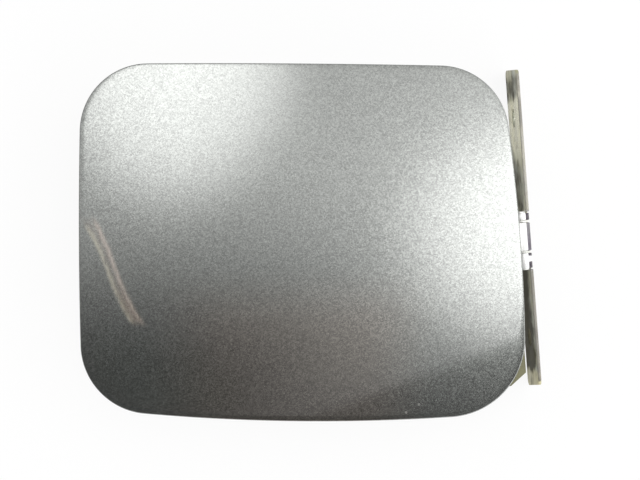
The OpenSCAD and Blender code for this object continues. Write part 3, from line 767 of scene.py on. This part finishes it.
class FUELDOOR_OT_inner_sheet(bpy.types.Operator):
    """Build the stamped inner sheet with its pan, recess and holes"""

    bl_idname = "fueldoor.inner_sheet"
    bl_label = "Inner Sheet"

    def execute(self, context):
        size, sheet = context.scene.fueldoor_outline, context.scene.fueldoor_sheet
        edge, outward = outline(size)
        pan_mid = (sheet.pan_x, 0)
        flange_z = sheet.hem_z + sheet.skin_t

        def field(out):
            """Outline of the recess, set out on all sides"""
            radius = sheet.field_h / 2 - 0.01 * MM + out
            return rounded_ring(sheet.field_w + 2 * out, sheet.field_h + 2 * out, radius, pan_mid)

        def pan(out):
            """Outline of the pan, set out on all sides"""
            return rounded_ring(sheet.pan_w + 2 * out, sheet.pan_h + 2 * out, sheet.pan_r + out, pan_mid)

        def between(first, second, level, count, ends=False):
            """Level rings at equal shares of the way from the first ring to the second"""
            shares = np.linspace(0, 1, count + 2)[slice(None) if ends else slice(1, -1)]
            return [(first + (second - first) * share, level) for share in shares]

        hole = rounded_ring(2 * sheet.field_hole_r, 2 * sheet.field_hole_r, sheet.field_hole_r, pan_mid)
        run, rise = bend(sheet.field_rise, sheet.press_r, sheet.draft)
        run -= run[-1] / 2
        rows = between(hole, field(run[0]), sheet.pan_z + sheet.field_rise, 5, True)[:-1]
        rows += [(field(r), sheet.pan_z + sheet.field_rise - z) for r, z in zip(run, rise)]
        step, height = bend(flange_z - sheet.pan_z, sheet.press_r, sheet.draft)
        step += sheet.pan_flare - step[-1]
        rows += between(field(run[-1]), pan(step[0]), sheet.pan_z, 16)
        rows += [(pan(r), sheet.pan_z + z) for r, z in zip(step, height)]
        rows += between(pan(step[-1]), edge - outward * sheet.hem_w, flange_z, 5)
        rows += [(edge - outward * inset, flange_z) for inset in (sheet.hem_w, 5 * MM, sheet.inner_inset)]
        grid = np.stack([in_frame(size, points, level) for points, level in rows])
        points, faces = surface(grid, capped=False)

        # a hole: faces that reach inside its radius go, and the points on the rim move out to the radius
        faces = np.array(faces)
        hole_x, hole_y = sheet.pan_w / 2 - sheet.pan_r, sheet.pan_h / 2 - sheet.pan_r
        for side_x, side_y in ((1, 1), (1, -1), (-1, 1), (-1, -1)):
            at = in_frame(size, (sheet.pan_x + side_x * hole_x, side_y * hole_y), 0)[:2]
            away = points[:, :2] - at
            reach = np.linalg.norm(away, axis=1)
            cut = (reach < sheet.light_hole_r)[faces].any(1)
            rim = np.intersect1d(faces[cut], faces[~cut])
            points[rim, :2] = at + away[rim] * (sheet.light_hole_r / reach[rim])[:, None]
            faces = faces[~cut]
        primer = primer_finish(size, context.scene.fueldoor_colours)
        shape = (points, faces.tolist())
        piece = show("inner_sheet", shape, 60, primer, "door", "primer", "inner_panel", down=True)
        wall = piece.modifiers.new("Sheet thickness", "SOLIDIFY")
        wall.thickness = sheet.inner_t
        wall.offset = -1
        wall.use_even_offset = True
        return {"FINISHED"}


class FUELDOOR_OT_seams(bpy.types.Operator):
    """Lay the bead of sealer along the hem and the mastic pads between the skins"""

    bl_idname = "fueldoor.seams"
    bl_label = "Sealer and Mastic"

    def execute(self, context):
        size, sheet = context.scene.fueldoor_outline, context.scene.fueldoor_sheet
        tones = context.scene.fueldoor_colours
        edge, outward = outline(size)
        # the bead: half * cos t across and drop * sin t ** 0.7 down for half a turn of t, swelling by sines
        along = np.linspace(0, 2 * pi, len(edge), endpoint=False)
        swell = 0.5 * np.sin(7 * along + 1) + 0.3 * np.sin(17 * along) + 0.2 * np.sin(41 * along + 2)
        half = (sheet.sealer_w / 2 + 0.1 * MM) * (1 + 0.1 * swell)
        drop = sheet.skin_t * (0.95 + 0.04 * np.roll(swell, 9))
        top = sheet.hem_z + sheet.skin_t
        middle = edge - outward * (sheet.hem_w + sheet.sealer_w / 2 - sheet.sealer_lap)
        rows = []
        for angle in np.linspace(0, pi, 9):
            ring = middle + outward * (half * cos(angle))[:, None]
            rows.append(in_frame(size, ring, top - drop * sin(angle) ** 0.7))
        rows.append(in_frame(size, middle, top + 0.02 * MM))
        bead = surface(np.stack(rows), loop=True)
        show("hem_bead", bead, 70, sealer_finish(tones), "door", "sealer", "hem_sealer")

        # a pad: its radius bulges with the sine of the share of its height
        low, high = (corner.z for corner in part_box("mastic_pads"))
        tall, end_r = high - low, sheet.mastic_r
        bulge = [(end_r + (0.15 + 0.5 * sin(pi * k)) * MM, tall * k) for k in np.linspace(0.06, 0.94, 9)]
        profile = [(end_r, 0), *bulge, (end_r, tall)]
        middles = [(sheet.pan_x + side * sheet.mastic_x, 0) for side in (-1, 1)]
        pads = [surface(turned(profile, in_frame(size, at, low))) for at in middles]
        soft = moulded_finish("Black mastic", tones.rubber, 0.62, 1.4, 0.3, 0.00006)
        show("mastic_blobs", joined(pads), 50, soft, "door", "mastic", "mastic_pads")
        return {"FINISHED"}


class FUELDOOR_OT_hinge(bpy.types.Operator):
    """Build the hinge: base plate, leaf, pin, washers, detent spring and its rivet"""

    bl_idname = "fueldoor.hinge"
    bl_label = "Hinge"

    def execute(self, context):
        size, hinge = context.scene.fueldoor_outline, context.scene.fueldoor_hinge
        tones = context.scene.fueldoor_colours
        base_zinc = plated_finish("Dirty and shaded passivated zinc", tones, hinge, 1.0)
        leaf_zinc = plated_finish("Passivated zinc", tones, hinge, 0.6)
        bright = steel_finish("Bright zinc", tones)
        spring = steel_finish("Spring steel", tones, (0.82, 0.83, 0.86), 0.22)
        nylon = moulded_finish("Natural nylon", tones.nylon, 0.38, 3.0, 0.3)
        eased_copy("hinge_base", "base_plate", hinge.plate_ease, base_zinc, "body_side")
        eased_copy("hinge_leaf", "strap_leaf", hinge.leaf_ease, leaf_zinc, "door")
        primer = primer_finish(size, tones)
        eased_copy("hinge_reinforcement", "leaf_backing", hinge.backing_ease, primer, "door")
        eased_copy("detent_spring", "detent_leaf", hinge.spring_ease, spring, "body_side")

        middle = (hinge.pin_x, hinge.pin_y, hinge.pin_z)
        half, head = hinge.pin_l / 2, hinge.head_t
        end = [(hinge.pin_r, half), (hinge.head_r, half), (hinge.head_r, half + 0.4 * head)]
        end += quarter(hinge.head_r - 0.6 * head, half + 0.4 * head, 0.6 * head, 0, 90)
        end += [(0.55 * hinge.pin_r, half + head), (0.4 * hinge.pin_r, half + 0.75 * head)]
        pin = [(r, -h) for r, h in end[::-1]] + end
        shape = surface(turned(pin, middle, "Y", 40))
        show("turned_pin", shape, 40, bright, "body_side", "bright_steel", "hinge_pin")

        bore, rim, flat = hinge.pin_r + hinge.washer_fit, hinge.washer_r, hinge.washer_t / 2
        soft, chamfer = 0.2 * MM, 0.1 * MM
        ring = [(bore, -flat + chamfer), (bore + chamfer, -flat)]
        ring += quarter(rim - soft, -flat + soft, soft, -90, 0)
        ring += quarter(rim - soft, flat - soft, soft, 0, 90)
        ring += [(bore + chamfer, flat), (bore, flat - chamfer)]
        for side, node in ((1, "washer_top"), (-1, "washer_bottom")):
            at = (hinge.pin_x, hinge.eye_y + side * hinge.washer_at, hinge.pin_z)
            shape = surface(turned(ring, at, "Y", 40), loop=True)
            show(node + "_ring", shape, 40, nylon, "body_side", "washer_plastic", node)

        # the rivet's head: its face less the rise times the cosine of a quarter turn * share ** 1.6
        low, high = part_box("spring_rivet")
        at = (0, (low.y + high.y) / 2, (low.z + high.z) / 2)
        shank, head_r, rise = hinge.rivet_r, (high.y - low.y) / 2, hinge.rivet_dome
        face = low.x + rise
        dome = [(head_r * k, face - rise * cos(pi / 2 * k**1.6)) for k in np.linspace(0.05, 1, 9)]
        rivet = dome + [(shank, face), (shank, -0.02 * MM), (0.5 * shank, 0)]
        shape = surface(turned(rivet, at, "X", 36))
        show("domed_rivet", shape, 45, bright, "body_side", "bright_steel", "spring_rivet")
        return {"FINISHED"}


class FUELDOOR_OT_fittings(bpy.types.Operator):
    """Build the striker, the cap holder, their rivets and the stop buffers"""

    bl_idname = "fueldoor.fittings"
    bl_label = "Fittings"

    def execute(self, context):
        scene = context.scene
        size, sheet, parts, tones = (
            scene.fueldoor_outline, scene.fueldoor_sheet, scene.fueldoor_fittings, scene.fueldoor_colours
        )
        catch_zinc = plated_finish("Striker zinc", tones, scene.fueldoor_hinge, 0.45)
        bright = steel_finish("Rivet zinc", tones)
        plastic = moulded_finish("Black plastic", tones.plastic, 0.42, 4.0, 0.35)
        rubber = moulded_finish("Black rubber", tones.rubber, 0.6, 2.2, 0.45, 0.00004)
        eased_copy("striker", "striker_catch", parts.striker_ease, catch_zinc, "door")
        eased_copy("cap_holder", "cap_fork", parts.holder_ease, plastic, "door", 4)

        def rivet_at(x, y, under, dimple=0.0):
            """A rivet through a sheet under the pan's floor. At the share k of its radius the head is lower
            by r / 2 * (1 - k ** 3), and the upset end is higher by 0.4 * r * (1 - k ** 4)."""
            r, low, high = parts.rivet_r, sheet.pan_z - under, sheet.pan_z + sheet.inner_t
            head = [(0.35 * r, low - 0.5 * r + dimple), (0.55 * r, low - 0.5 * r + 0.3 * dimple)]
            head += [(1.7 * r * k, low - 0.5 * r * (1 - k**3)) for k in (0.5, 0.65, 0.78, 0.88, 0.95, 1)]
            tail = [(1.5 * r * k, high + 0.4 * r * (1 - k**4)) for k in (1, 0.95, 0.85, 0.7, 0.45, 0.1)]
            profile = head + [(r, low), (r, high)] + tail
            return surface(turned(profile, in_frame(size, (x, y), 0), "Z", 40))

        across, up = parts.striker_rivet_x, parts.striker_rivet_y
        rivets = joined([rivet_at(across, side * up, parts.striker_t) for side in (-1, 1)])
        show("catch_rivets", rivets, 45, bright, "door", "bright_steel", "striker_rivets")
        across, up = [sheet.pan_x + side * parts.holder_x for side in (-1, 1)], parts.holder_y
        rivets = joined([rivet_at(x, up, parts.holder_t, parts.dimple) for x in across])
        show("fork_rivets", rivets, 45, plastic, "door", "holder_plastic", "cap_holder_rivets")

        flange = sheet.hem_z + sheet.skin_t
        for node in ("buffer_top", "buffer_bottom"):
            low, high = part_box(node)
            at = ((low.x + high.x) / 2, (low.y + high.y) / 2, 0)
            r, foot = parts.buffer_r, flange - parts.buffer_h
            profile = [(0.12 * r, foot + 0.25 * MM), (0.3 * r, foot + 0.05 * MM), (0.45 * r, foot)]
            # a rounded foot, a waist, a rim under the flange, a neck through the sheet and a button above it
            soft = 1.1 * MM
            profile += quarter(r - soft, foot + soft, soft, -90, 0, 7)
            profile += [(0.9 * r, foot + 2.6 * MM), (0.88 * r, foot + 4.4 * MM), (0.93 * r, foot + 4.7 * MM)]
            profile += quarter(r - 0.4 * MM, foot + 5.2 * MM, 0.4 * MM, -40, 50, 5)
            profile += [(0.9 * r, flange), (0.5 * r, flange), (0.5 * r, flange + sheet.inner_t)]
            profile += [(0.7 * r, flange + sheet.inner_t), (0.66 * r, high.z - 0.2 * MM), (0.45 * r, high.z)]
            show(node + "_stop", surface(turned(profile, at)), 40, rubber, "door", "buffer_rubber", node)
        return {"FINISHED"}


class FUELDOOR_OT_stage(bpy.types.Operator):
    """Set the floor, the soft studio light and the camera"""

    bl_idname = "fueldoor.stage"
    bl_label = "Stage"

    def execute(self, context):
        scene = context.scene
        size, stage = scene.fueldoor_outline, scene.fueldoor_stage
        scene.view_settings.view_transform = "Standard"
        self.light(scene, size, stage)
        self.lay_floor(scene, stage)
        lens = bpy.data.cameras.new("Camera")
        lens.lens = stage.lens
        lens.sensor_width = 36
        camera = bpy.data.objects.new("Camera", lens)
        scene.collection.objects.link(camera)
        right = Vector((cos(size.turn), -sin(size.turn), 0))
        upward = Vector((sin(size.turn), cos(size.turn), 0))
        pose = Matrix((right, upward, (0, 0, 1))).transposed().to_4x4()
        pose.translation = (stage.camera_x, stage.camera_y, stage.camera_z)
        camera.matrix_world = pose
        scene.camera = camera
        return {"FINISHED"}

    def light(self, scene, size, stage):
        """Soft light by direction: a = across and b = up, each over the height above the horizon"""
        world = bpy.data.worlds.new("Studio")
        scene.world = world
        world.use_nodes = True
        n = Nodes(world.node_tree)
        x, y, z = n.split(n.add("ShaderNodeTexCoord", output="Generated"))
        height = z.at_least(0.02)
        a = (x * cos(size.turn) - y * sin(size.turn)) / height
        b = (x * sin(size.turn) + y * cos(size.turn)) / height

        def panel(middle, reach):
            """A soft-edged oval light: it fades from its middle to where the sum of the squares is 1"""
            oval = ((a - middle[0]) / reach[0]) ** 2 + ((b - middle[1]) / reach[1]) ** 2
            return oval.over(1.0, 0.0)

        # each light is full inside its edges and fades across them; a slanted line cuts those at the right
        cut = (b - 0.37 * a + 0.2125).over(-0.006, 0.012)
        key = stage.key * panel(stage.key_at, stage.key_reach)
        side = stage.side * panel(stage.side_at, stage.side_reach)
        band = stage.band * a.over(-0.193, 0.423) * a.over(0.8, 0.5) * b.over(0.376, 0.076)
        sky = stage.sky * b.over(-0.151, 0.089) * z.over(0.6, 0.75)
        near = (0.95 * a - 0.3 * b) * height
        walls = (stage.walls_far + (stage.walls - stage.walls_far) * near.over(0.3, 0.6)) * z.over(0.85, 0.6)
        above = z.over(0.0, 0.05)
        fill = stage.fill * a.over(0.05, 0.3)
        light = stage.ceiling + walls + (sky + key + fill + (side + band) * cut) * above
        seen = n.add("ShaderNodeLightPath", output="Is Camera Ray")
        strength = light * (1 - seen) + seen
        lamp = n.add("ShaderNodeBackground", None, {"Color": (1, 1, 1), "Strength": strength})
        n.add("ShaderNodeOutputWorld", None, {"Surface": lamp})

    def lay_floor(self, scene, stage):
        """A square floor just under the part"""
        level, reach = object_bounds()[0].z - 0.3 * MM, 1.6
        mesh = bpy.data.meshes.new("floor")
        corners = [(reach * x, reach * y, level) for x, y in ((-1, -1), (1, -1), (1, 1), (-1, 1))]
        mesh.from_pydata(corners, [], [(0, 1, 2, 3)])
        floor = bpy.data.objects.new("floor", mesh)
        scene.collection.objects.link(floor)
        material = bpy.data.materials.new("Pale floor")
        material.use_nodes = True
        n = Nodes(material.node_tree)
        matt = n.add("ShaderNodeBsdfDiffuse", None, {"Color": tuple(stage.floor)})
        white = n.add("ShaderNodeEmission", None, {"Color": (1, 1, 1), "Strength": 1.0})
        seen = n.add("ShaderNodeLightPath", output="Is Camera Ray")
        mirrored = n.add("ShaderNodeLightPath", output="Is Glossy Ray")
        # mostly white to the camera, with enough matt left to keep the shadow
        both = n.add("ShaderNodeMixShader", None, {0: seen * 0.9 + mirrored * 0.5, 1: matt, 2: white})
        n.add("ShaderNodeOutputMaterial", None, {"Surface": both})
        mesh.materials.append(material)
        floor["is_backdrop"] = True


class FUELDOOR_PT_sidebar(bpy.types.Panel):
    """Lists the pieces of the fuel door"""

    bl_label = "Fuel Door"
    bl_idname = "FUELDOOR_PT_sidebar"
    bl_space_type = "VIEW_3D"
    bl_region_type = "UI"
    bl_category = "Fuel Door"

    def draw(self, context):
        for operator in OPERATORS:
            self.layout.operator(operator.bl_idname)
        for name in GROUPS:
            box = self.layout.box()
            group = getattr(context.scene, name)
            for key in group.__annotations__:
                box.prop(group, key)


GROUPS = {
    "fueldoor_outline": FUELDOOR_PG_outline,
    "fueldoor_sheet": FUELDOOR_PG_sheet,
    "fueldoor_hinge": FUELDOOR_PG_hinge,
    "fueldoor_fittings": FUELDOOR_PG_fittings,
    "fueldoor_colours": FUELDOOR_PG_colours,
    "fueldoor_stage": FUELDOOR_PG_stage,
}
OPERATORS = (
    FUELDOOR_OT_outer_skin,
    FUELDOOR_OT_inner_sheet,
    FUELDOOR_OT_seams,
    FUELDOOR_OT_hinge,
    FUELDOOR_OT_fittings,
    FUELDOOR_OT_stage,
)


def register():
    """Adds the classes and their settings"""
    for group in GROUPS.values():
        bpy.utils.register_class(group)
    for operator in OPERATORS:
        bpy.utils.register_class(operator)
    bpy.utils.register_class(FUELDOOR_PT_sidebar)
    for name, group in GROUPS.items():
        setattr(bpy.types.Scene, name, PointerProperty(type=group))


def unregister():
    """Takes the settings and the classes away again"""
    for name in GROUPS:
        delattr(bpy.types.Scene, name)
    bpy.utils.unregister_class(FUELDOOR_PT_sidebar)
    for operator in OPERATORS:
        bpy.utils.unregister_class(operator)
    for group in GROUPS.values():
        bpy.utils.unregister_class(group)


def main():
    """Builds every piece in order"""
    register()
    bpy.ops.fueldoor.outer_skin()
    bpy.ops.fueldoor.inner_sheet()
    bpy.ops.fueldoor.seams()
    bpy.ops.fueldoor.hinge()
    bpy.ops.fueldoor.fittings()
    bpy.ops.fueldoor.stage()


if __name__ == "__main__":
    main()
